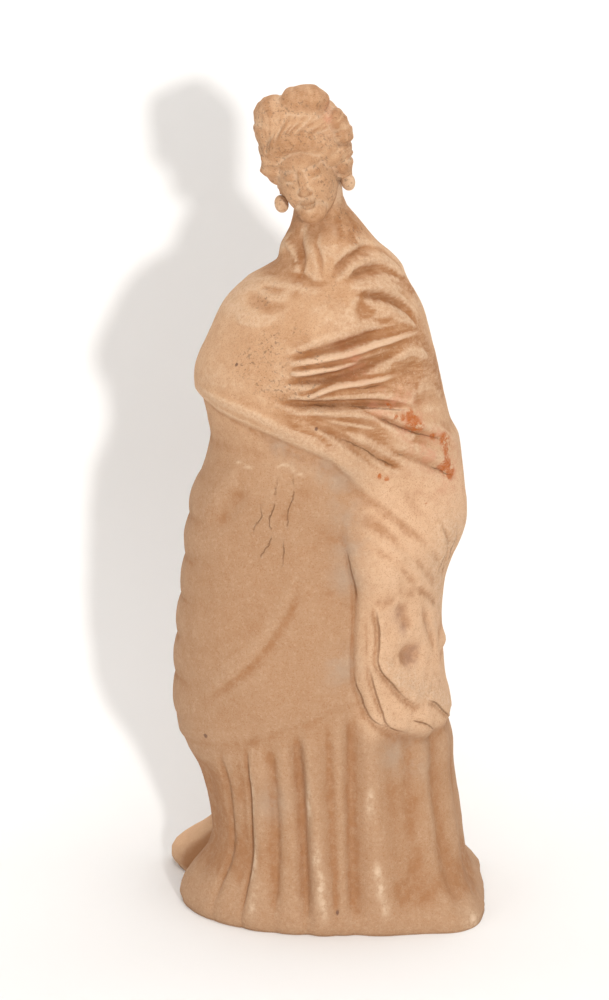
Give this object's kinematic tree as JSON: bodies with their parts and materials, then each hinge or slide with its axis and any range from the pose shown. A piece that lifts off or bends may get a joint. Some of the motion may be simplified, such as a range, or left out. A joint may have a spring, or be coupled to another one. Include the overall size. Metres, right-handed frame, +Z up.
{
  "type": "tanagra figurine",
  "caption": "Hollow moulded terracotta figurine of a standing woman wrapped in a cloak over a pleated dress, open below and vented at the back.",
  "frame": {"origin": "on the surface it stands on, under the middle of the figure's outline", "axes": "+Z up through the head, the figure's face and chest towards -Y, the figure's left side towards +X"},
  "size_m": [0.0905, 0.0644, 0.2347],
  "materials": {
    "terracotta": "matte fired clay with earth in the folds, pale worn crests and traces of orange pigment"
  },
  "bodies": {
    "root": {"figurine": "terracotta"}
  },
  "joints": []
}
